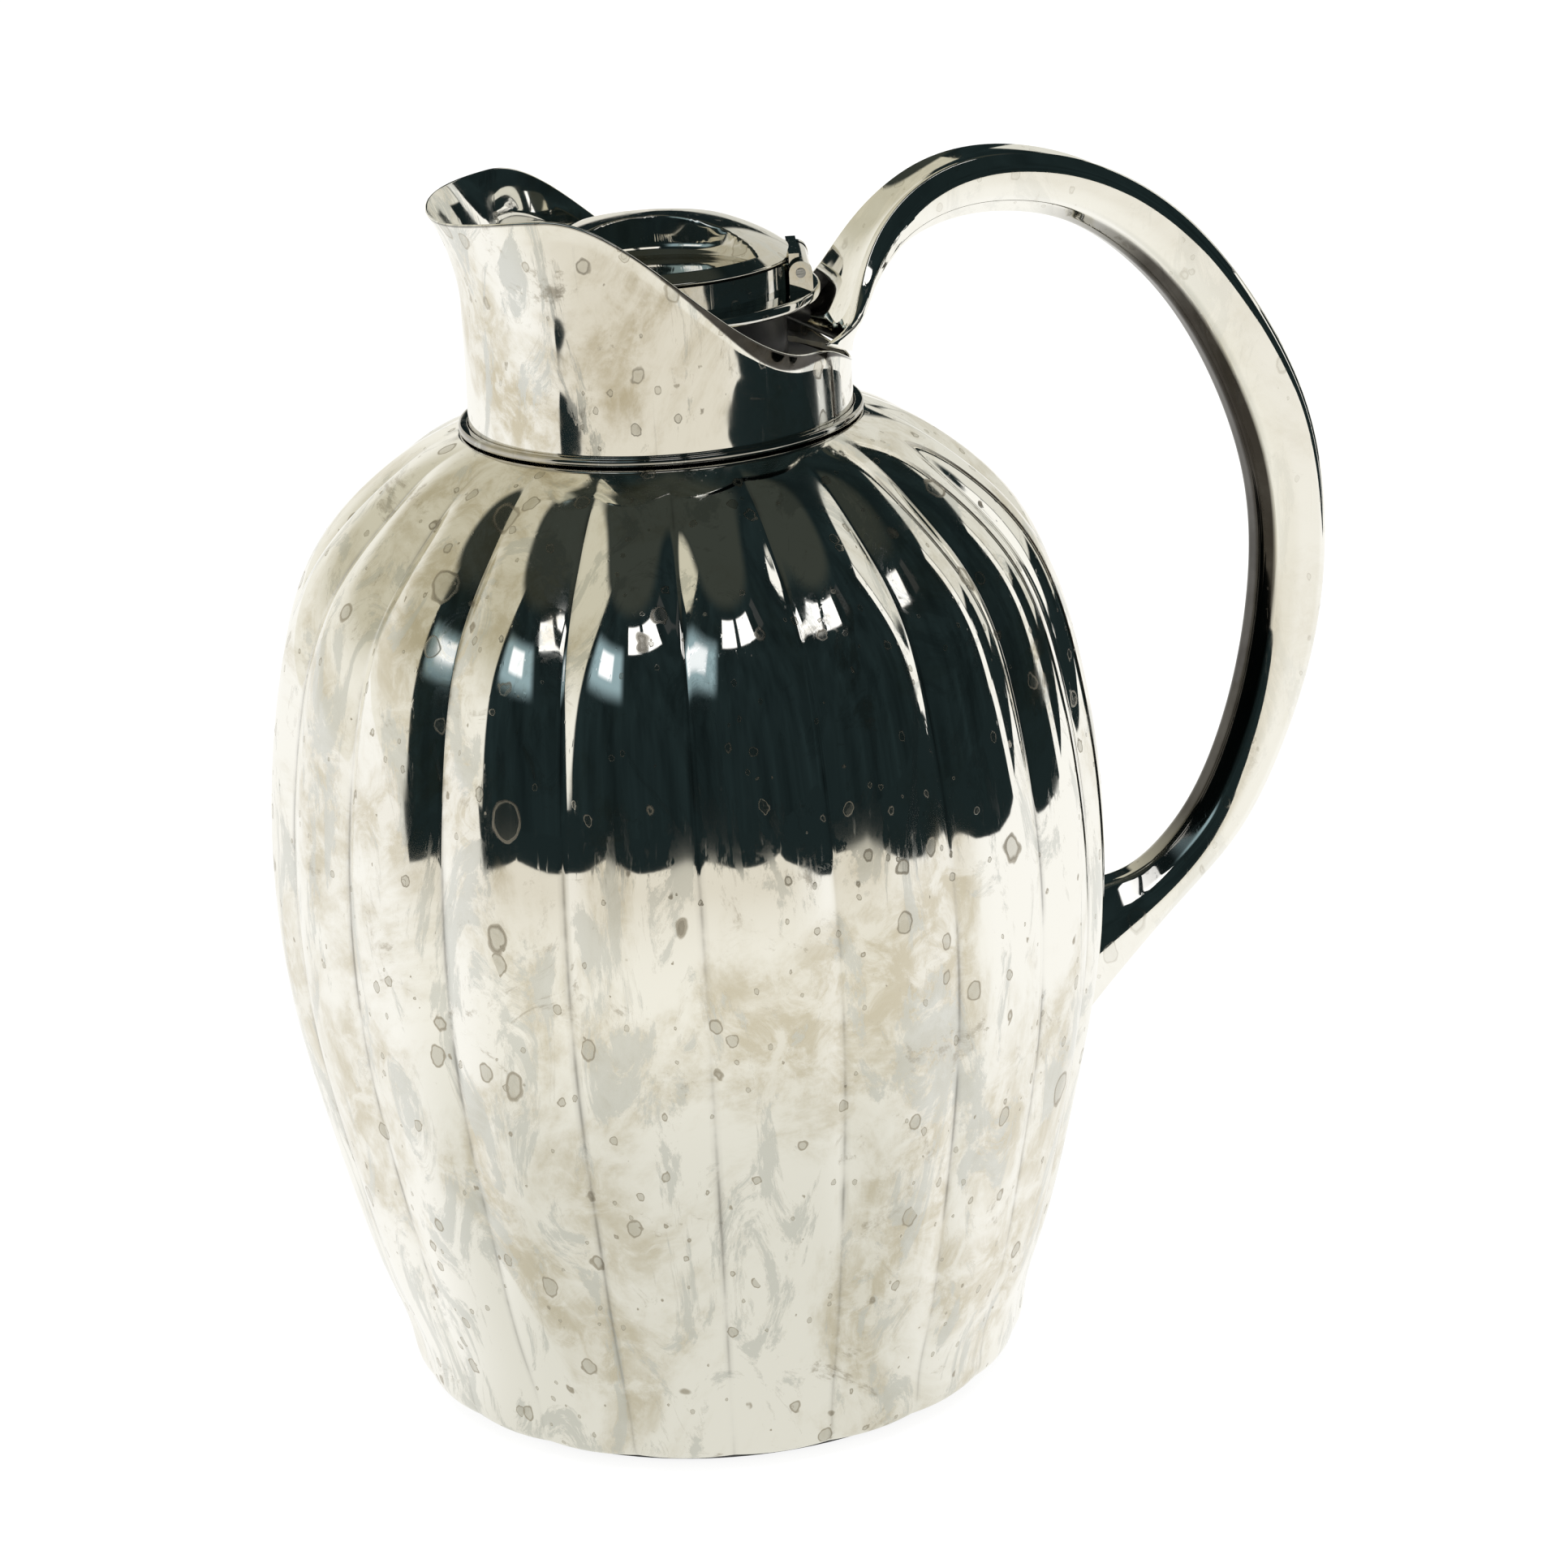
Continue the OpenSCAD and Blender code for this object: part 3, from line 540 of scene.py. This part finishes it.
def collar_piece():
    """Spouted collar with a thin rounded rim."""
    columns, rows, lip = 360, 110, 9
    band_at_spout, band_at_dip, band_soft = 0.5, 3.0, 0.25  # heights of the painted shade under the rim, a painted dark reflection
    angle = np.linspace(0, TURN, columns, endpoint=False)[:, None]
    b = from_spout(angle)
    top = rim_z(b)
    half = RIM_WALL / 2
    v = np.linspace(0, 1, rows)[None]
    z = COLLAR_FOOT_Z + (top - half - COLLAR_FOOT_Z) * v
    outer = np.stack([collar_radius(b, z, top), z], axis=-1)
    turn = np.linspace(0, math.pi, lip + 2)[None, 1:-1]
    edge_r = collar_radius(b, top - half, top) - half
    edge = np.stack([edge_r + half * np.cos(turn), top - half + half * np.sin(turn)], axis=-1)
    up = np.clip((z - top + RIM_TAPER) / RIM_TAPER, 0, 1)
    wall = COLLAR_WALL + (RIM_WALL - COLLAR_WALL) * up
    inner = (outer - np.stack([wall, 0 * wall], axis=-1))[:, ::-1]
    section = np.concatenate([outer, edge, inner], axis=1)
    r, z = section[..., 0], section[..., 1]
    points = np.stack([r * np.cos(angle), r * np.sin(angle), z], axis=-1)
    piece = mesh_object("spouted_collar", points, grid_faces(columns, section.shape[1], True, True))
    # The band under the rim is painted shade: a dark reflection painted into the collar's colour, widest
    # at the dip.
    band = band_at_spout + band_at_dip * np.exp(-(((b - DIP_AT) / DIP_SPREAD) ** 2))
    painted_shade_under_rim = np.clip((z - top + band) / band_soft, 0, 1)
    painted_shade_under_rim[:, rows:] = 0
    add_attribute(piece, "tarnish_and_painted_shade", painted_shade_under_rim)
    return piece


def bead_piece():
    """Rolled bead where the collar meets the casing."""
    inside = COLLAR_R + CLEARANCE
    top = BEAD_Z + BEAD_H
    section = rounded(
        [[inside, BEAD_Z], [BEAD_R, BEAD_Z], [BEAD_R, top], [inside, top]], [0.05, 0.7, 0.7, 0.2], 7)
    return revolved("neck_bead", section, 320)


collar = collar_piece()
bead = bead_piece()


# ---- Handle ----


def bent(corners, radii, count):
    """Evenly spaced points along an open line whose inner corners are rounded."""
    p = np.asarray(corners, float)
    out = [p[:1]]
    t = np.linspace(0, 1, 9)[:, None]
    for last, corner, following, radius in zip(p, p[1:], p[2:], radii):
        start = corner + (last - corner) / np.linalg.norm(last - corner) * radius
        end = corner + (following - corner) / np.linalg.norm(following - corner) * radius
        out.append((1 - t) ** 2 * start + 2 * t * (1 - t) * corner + t ** 2 * end)
    line = np.vstack(out + [p[-1:]])
    u = np.concatenate([[0], np.cumsum(np.linalg.norm(np.diff(line, axis=0), axis=1))])
    at = np.linspace(0, u[-1], count)
    return np.stack([np.interp(at, u, line[:, k]) for k in (0, 1)], axis=1)


def handle_section(station, m, bevel, turns):
    """Loop of points at one station: nose side first, then the trough side back.

    It goes from a plate bent round the collar at m = 0 to a bevelled bar with a flat nose at m = 1.
    """
    edge_x, edge_z, w, nose_x, nose_z, trough = station
    nose = np.array([nose_x - edge_x, nose_z - edge_z])
    d = np.linalg.norm(nose)
    nose = nose / d
    t = np.linspace(0, math.pi, SIDE_POINTS)
    plate = np.stack([w * np.cos(t), d * np.sin(t) ** 2], axis=1)
    half = [[w - HANDLE_LAND, 0], [w, bevel], [SIDE_SLANT * w, turns[0] * d], [turns[2] * w, turns[1] * d],
        [NOSE_HALF * w, d]]
    corners = half + [[-y, h] for y, h in reversed(half)]
    soft = [min(0.8, bevel / 2), 1, 0.9, 1.1]  # corner radii, from the land down to the nose
    bar = bent(corners, soft + soft[::-1], SIDE_POINTS)
    side = plate + (bar - plate) * m * m * (3 - 2 * m)
    c = np.cos(t)[::-1]
    back = np.stack([(w - HANDLE_LAND) * c, trough * (1 - c ** 2)], axis=1)
    y, h = np.vstack([side, back[1:-1]]).T
    return np.stack([edge_x + nose[0] * h, y, edge_z + nose[1] * h], axis=1)


def onto_casing(loop):
    """Moves a loop's points onto the casing's outside."""
    sink = 0.4
    outline = fair(CASING_OUTLINE, 600)
    r = np.interp(loop[:, 2], outline[:, 1], outline[:, 0]) - sink
    moved = loop.copy()
    moved[:, 0] = np.sqrt(np.maximum(r ** 2 - loop[:, 1] ** 2, 1))
    return moved


def end_cap(start, count):
    """Faces across a loop of points, from its nose side to the matching points of its trough side."""
    j = np.arange(SIDE_POINTS - 1)
    return start + np.stack([j, (count - j) % count, count - j - 1, j + 1], axis=1)


def handle_piece():
    """Swept handle that grows out of the collar's rim and lands low on the casing."""
    steps = 170
    edge_gap, edge_soft = 0.06, 0.04  # where the painted shade of the inner edge begins, in shares of the depth
    stations = fair(HANDLE_STATIONS, steps)
    length = np.linalg.norm(np.diff(np.asarray(HANDLE_STATIONS)[:, :2], axis=0), axis=1)
    share = np.interp(np.linspace(0, length.sum(), steps), np.concatenate([[0], np.cumsum(length)]),
        np.arange(len(HANDLE_STATIONS)))
    bevels = np.interp(share, *zip(*HANDLE_BEVELS))
    at, *sides = zip(*HANDLE_SIDES)
    turns = np.stack([np.interp(share, at, side) for side in sides], axis=1)
    loops = [handle_section(q, min(s / BAR_FROM, 1), bevel, turn)
        for q, s, bevel, turn in zip(stations, share, bevels, turns)]
    loops[-1] = onto_casing(loops[-1])
    points = np.array(loops)
    rows, columns = points.shape[:2]
    root, foot = end_cap(0, columns), end_cap((rows - 1) * columns, columns)[:, ::-1]
    faces = np.vstack([grid_faces(rows, columns, False, True), root, foot])
    piece = mesh_object("swept_handle", points, faces)
    depth = np.linalg.norm(points[:, :, ::2] - points[:, :1, ::2], axis=2)
    depth = depth / depth.max(axis=1)[:, None]
    # Painted shade along the handle's inner edge: a dark reflection painted into its colour.
    painted_inner_edge_shade = np.clip((depth - turns[:, 1:2] - edge_gap) / edge_soft, 0, 1)
    along = np.interp(share, *zip(*INNER_EDGE_PAINTED_SHADE))[:, None]
    add_attribute(piece, "tarnish_and_painted_shade", painted_inner_edge_shade * along)
    return piece


handle = handle_piece()


# ---- Stopper ----


def plate_piece():
    """Round plate of the stopper, with softened edges."""
    inside = SEAT_R + CLEARANCE
    section = rounded(
        [[inside, PLATE_Z], [PLATE_R, PLATE_Z], [PLATE_R, PLATE_TOP_Z], [inside, PLATE_TOP_Z]],
        [0.1, 0.9, 0.8, 0.1], 6)
    return revolved("stopper_disc", section, 256)


def lid_piece():
    """Domed lid with two half-moon finger wells and a turned-down skirt."""
    columns, rings = 360, 150
    blend = 0.5
    angle = np.linspace(0, TURN, columns, endpoint=False)[:, None]
    dome = fair(DOME_OUTLINE, 300)
    rim = DOME_OUTLINE[-1][0]
    centre_r = 0.02
    r = np.concatenate([[centre_r], np.linspace(0.2, rim, rings)])[None]
    x, y = r * np.cos(angle), r * np.sin(angle)
    z = np.interp(r, dome[:, 0], dome[:, 1]) + 0 * angle
    corner, lean = 3.0, 1.5  # radius at the foot of a well's wall, and how far the wall leans
    wall_top_z = 232
    rim_slope = 8
    low_r = WELL_R - lean
    for side in (1, -1):
        away = np.hypot(x, y - side * WELL_Y)
        arc = np.clip((away - (low_r - corner)) / corner, 0, 1)
        bowl = WELL_FLOOR_Z + corner * (1 - np.sqrt(1 - arc ** 2))
        wall = WELL_FLOOR_Z + corner + (away - low_r) * (wall_top_z - WELL_FLOOR_Z - corner) / lean
        bowl = np.where(away > low_r, wall, bowl)
        outside_rim = WELL_FLOOR_Z + np.clip((r - WELL_RIM_R) * rim_slope, 0, None)
        z = smooth_min(z, np.maximum(bowl, outside_rim), blend)
    skirt_out_r, skirt_in_r, ceiling_z = 25.6, 24.6, 220.3
    skirt_r = np.array([rim, skirt_out_r, skirt_in_r, skirt_in_r, 12, centre_r])
    skirt_z = np.array([LID_BASE_Z, LID_BASE_Z, LID_BASE_Z, ceiling_z, ceiling_z, ceiling_z])
    under = np.stack([skirt_r * np.cos(angle), skirt_r * np.sin(angle), skirt_z + 0 * angle], axis=-1)
    points = np.concatenate([np.stack([x, y, z], axis=-1), under], axis=1)
    return gripwise(mesh_object("domed_lid", points, grid_faces(columns, points.shape[1], True, True)))


disc = plate_piece()
lid = lid_piece()


# ---- Pieces to bodies ----

for piece, node, look in (
        (casing, "body_shell", casing_silver), (collar, "neck_collar", collar_silver),
        (bead, "collar_bead", bead_silver), (handle, "handle", handle_silver),
        (disc, "stopper_plate", lid_silver), (lid, "lid_dome", lid_silver)):
    piece.data.materials.append(look)
    body = next(b for b, members in frame["record"]["behaviour"]["bodies"].items() if node in members)
    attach(piece, body)
    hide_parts(node)

black = moulded("black_plastic_worn", (0.02, 0.02, 0.021, 1), 0.32, 0.00001)
rubber = moulded("black_rubber_worn", (0.035, 0.034, 0.033, 1), 0.6, 0.00002)
steel = brushed_steel("turned_steel")
glass = silvered_glass("silvered_glass_wall")
looks = {"silver_plate": lid_silver, "black_plastic": black, "black_rubber": rubber,
    "silvered_glass": glass, "steel": steel}
for part in frame["record"]["subparts"]:
    slots = frame["nodes"][part["node"]].data.materials
    for i in range(len(slots)):
        slots[i] = looks[part["material_slot"]]


# ---- Studio ----


def from_front(net, vector):
    """Position or direction in axes turned to the reference view, which the camera never changes.

    x runs to the view's right, y towards the viewer and z up. The compass angle is 0 towards the viewer
    and 90 to the right.
    """
    parts = net.node("ShaderNodeSeparateXYZ")
    net.fill(parts.inputs[0], net.stretched(vector, (1, -1, 1), (0, 0, -math.degrees(VIEW_TURN))))
    x, y, z = parts.outputs
    return x, y, z, net.math("MULTIPLY", net.math("ARCTAN2", x, y), 180 / math.pi)


def between(net, value, low, high, soft):
    """1 where a value lies between low and high, with soft edges."""
    rise = net.ramp(value, low - soft, low + soft)
    fall = net.ramp(value, high + soft, high - soft)
    return net.math("MULTIPLY", rise, fall)


ROOM_DARK = (0.011, 0.019, 0.02, 1)
WHITE = (1, 1, 1, 1)
# Beige of the table in painted shade, also a tone of panels in the reflected studio
SHADED_TABLE = (0.76, 0.75, 0.68, 1)


def floor():
    """Pale table top. What lies past its edges, a dim room, shows in reflections only."""
    reach = 3.5
    sink = 0.0002  # keeps the floor clear of the foot
    made, net = material("pale_floor")
    place = net.node("ShaderNodeTexCoord").outputs["Object"]
    x, y, _, angle = from_front(net, place)
    away = net.node("ShaderNodeVectorMath", operation="LENGTH")
    net.fill(away.inputs[0], place)
    distance = away.outputs["Value"]
    # Seen in reflections, the table carries painted light and shade: painted contact shade darkens it near
    # the object, it darkens again far out in front, and it is lighter to the sides.
    front = net.mix(net.ramp(distance, 0.1, 0.3), SHADED_TABLE, (0.91, 0.89, 0.81, 1))
    front = net.mix(net.ramp(distance, 0.3, 0.9), front, (0.76, 0.72, 0.62, 1))
    side = net.ramp(net.math("ABSOLUTE", net.math("ADD", angle, 5)), 35, 80)
    pale = net.mix(side, front, (1, 0.99, 0.95, 1))
    wander = net.math("MULTIPLY", net.math("SUBTRACT", net.noise(place, 2.2, 4.0), 0.5), 0.12)
    ahead = net.ramp(net.math("ADD", y, wander), 1.18, 1.22)
    right = net.ramp(net.math("ADD", x, wander), 0.65, 0.66)
    right = net.math("MULTIPLY", right, net.ramp(angle, 138, 137))
    strip = between(net, angle, 105, 112, 0.4)
    right = net.math("MULTIPLY", right, net.math("SUBTRACT", 1.0, strip))
    left_line = net.math("MULTIPLY_ADD", x, -0.35, 0.17)
    past_line = net.ramp(net.math("SUBTRACT", y, left_line), 0, 0.01)
    left = net.math("MULTIPLY", net.ramp(x, -0.78, -0.79), past_line)
    gone = net.math("MAXIMUM", net.math("MAXIMUM", ahead, right), left)
    shown = net.mix(gone, pale, ROOM_DARK)
    reflected = net.node("ShaderNodeEmission")
    net.fill(reflected.inputs["Color"], shown)
    diffuse = net.node("ShaderNodeBsdfDiffuse")
    diffuse.inputs[0].default_value = (0.9, 0.9, 0.89, 1)
    glow = net.node("ShaderNodeEmission")
    glow.inputs["Strength"].default_value = 1.1
    plain = net.node("ShaderNodeMixShader")
    net.fill(plain.inputs[0], 0.8)
    net.fill(plain.inputs[1], diffuse.outputs[0])
    net.fill(plain.inputs[2], glow.outputs[0])
    path = net.node("ShaderNodeLightPath")
    both = net.node("ShaderNodeMixShader")
    seen = net.math("MAXIMUM", path.outputs["Is Camera Ray"], path.outputs["Is Diffuse Ray"])
    net.fill(both.inputs[0], seen)
    net.fill(both.inputs[1], reflected.outputs[0])
    net.fill(both.inputs[2], plain.outputs[0])
    out = net.node("ShaderNodeOutputMaterial")
    net.fill(out.inputs["Surface"], both.outputs[0])
    turn = np.linspace(0, TURN, 96, endpoint=False)[:, None]
    r = np.array([[0.001, 0.3, 1.0, reach]])
    points = np.stack([r * np.cos(turn), r * np.sin(turn), 0 * r - sink + 0 * turn], axis=-1) / MM
    table = mesh_object("studio_floor", points, grid_faces(96, 4, True, False), closed=False)
    table.data.materials.append(made)


# Panels of the studio in reflections: compass angles, elevations, soft edge in degrees, colour
PANELS = [
    (-58, -18, 24, 44, 4, (0.3, 0.42, 0.46, 1)), (-48, -30, 30, 41, 1.5, (1.2, 1.25, 1.3, 1)),
    (-10, 12, 43, 56, 0.5, (1.3, 1.3, 1.3, 1)), (18, 42, 43, 56, 0.5, (1.3, 1.3, 1.3, 1)),
    (54, 64, 44, 56, 0.5, (0.04, 0.045, 0.045, 1)),
    (105, 112, -12, 38, 0.4, (1, 0.99, 0.94, 1)), (128, 166, -12, 37, 1, SHADED_TABLE),
    (113, 129, 13, 37, 1, SHADED_TABLE),
    (166, 181, -12, 9, 1, SHADED_TABLE)]


def room():
    """Pale wall to the left, windows, a dim room in front and a dim ceiling, all in reflections only."""
    world = bpy.data.worlds.new("studio")
    bpy.context.scene.world = world
    world.use_nodes = True
    net = Net(world.node_tree)
    direction = net.node("ShaderNodeTexCoord").outputs["Generated"]
    _, _, z, angle = from_front(net, direction)
    elevation = net.math("MULTIPLY", net.math("ARCSINE", z), 180 / math.pi)
    shapes = net.math("MULTIPLY_ADD", net.noise(net.stretched(direction, (5, 5, 2)), 1, 3.0), 1.6, 0.2)
    dim = net.node("ShaderNodeVectorMath", operation="SCALE")
    dim.inputs[0].default_value = ROOM_DARK[:3]
    net.fill(dim.inputs["Scale"], shapes)
    colour = net.mix(net.ramp(elevation, 58, 66), dim.outputs[0], (0.04, 0.046, 0.038, 1))
    wall = net.mix(net.ramp(elevation, 8, 32), (0.9, 0.88, 0.8, 1), (0.6, 0.57, 0.45, 1))
    on_wall = net.math("MULTIPLY", net.ramp(angle, -64, -66), net.ramp(elevation, 64, 58))
    dark_back = net.math("MULTIPLY", net.ramp(angle, -166, -170), between(net, elevation, 12, 34, 2))
    on_wall = net.math("MULTIPLY", on_wall, net.math("SUBTRACT", 1.0, dark_back))
    colour = net.mix(on_wall, colour, wall)
    for left, right, low, high, soft, tint in PANELS:
        across = between(net, angle, left, right, soft)
        panel = net.math("MULTIPLY", across, between(net, elevation, low, high, soft))
        colour = net.mix(panel, colour, tint)
    path = net.node("ShaderNodeLightPath").outputs
    colour = net.mix(net.math("MAXIMUM", path["Is Camera Ray"], path["Is Diffuse Ray"]), colour, WHITE)
    background = net.node("ShaderNodeBackground")
    net.fill(background.inputs["Color"], colour)
    background.inputs["Strength"].default_value = 1.0
    out = net.node("ShaderNodeOutputWorld")
    net.fill(out.inputs["Surface"], background.outputs[0])


def soft_light(name, place, size, power):
    """Soft lamp aimed at the object, left out of mirror reflections."""
    lamp = bpy.data.lights.new(name, "AREA")
    lamp.size = size
    lamp.energy = power
    made = bpy.data.objects.new(name, lamp)
    made.location = place
    made.rotation_euler = (Vector((0, 0, 0.1)) - Vector(place)).to_track_quat("-Z", "Y").to_euler()
    made.visible_glossy = False
    bpy.context.scene.collection.objects.link(made)


def camera():
    """Camera at the reference viewing angle, with a small roll."""
    yaw, pitch, roll = CAMERA_YAW, CAMERA_PITCH, CAMERA_ROLL
    ahead = Vector((math.sin(yaw) * math.cos(pitch), math.cos(yaw) * math.cos(pitch), -math.sin(pitch)))
    right = Vector((math.cos(yaw), -math.sin(yaw), 0))
    up = right.cross(ahead)
    side = math.cos(roll) * right + math.sin(roll) * up
    top = math.cos(roll) * up - math.sin(roll) * right
    axes = Matrix((side, top, -ahead)).transposed().to_4x4()
    place = Matrix.Translation((0, -CAMERA_DISTANCE, CAMERA_HEIGHT))
    lens = bpy.data.cameras.new("camera")
    lens.lens = LENS_MM
    lens.sensor_width = SENSOR_MM
    made = bpy.data.objects.new("camera", lens)
    made.matrix_world = Matrix.Rotation(-VIEW_TURN, 4, "Z") @ place @ axes
    bpy.context.scene.collection.objects.link(made)
    bpy.context.scene.camera = made


floor()
room()
soft_light("overhead", (0, 0, 1.6), 1.6, 22)
camera()
bpy.context.scene.view_settings.view_transform = "Standard"
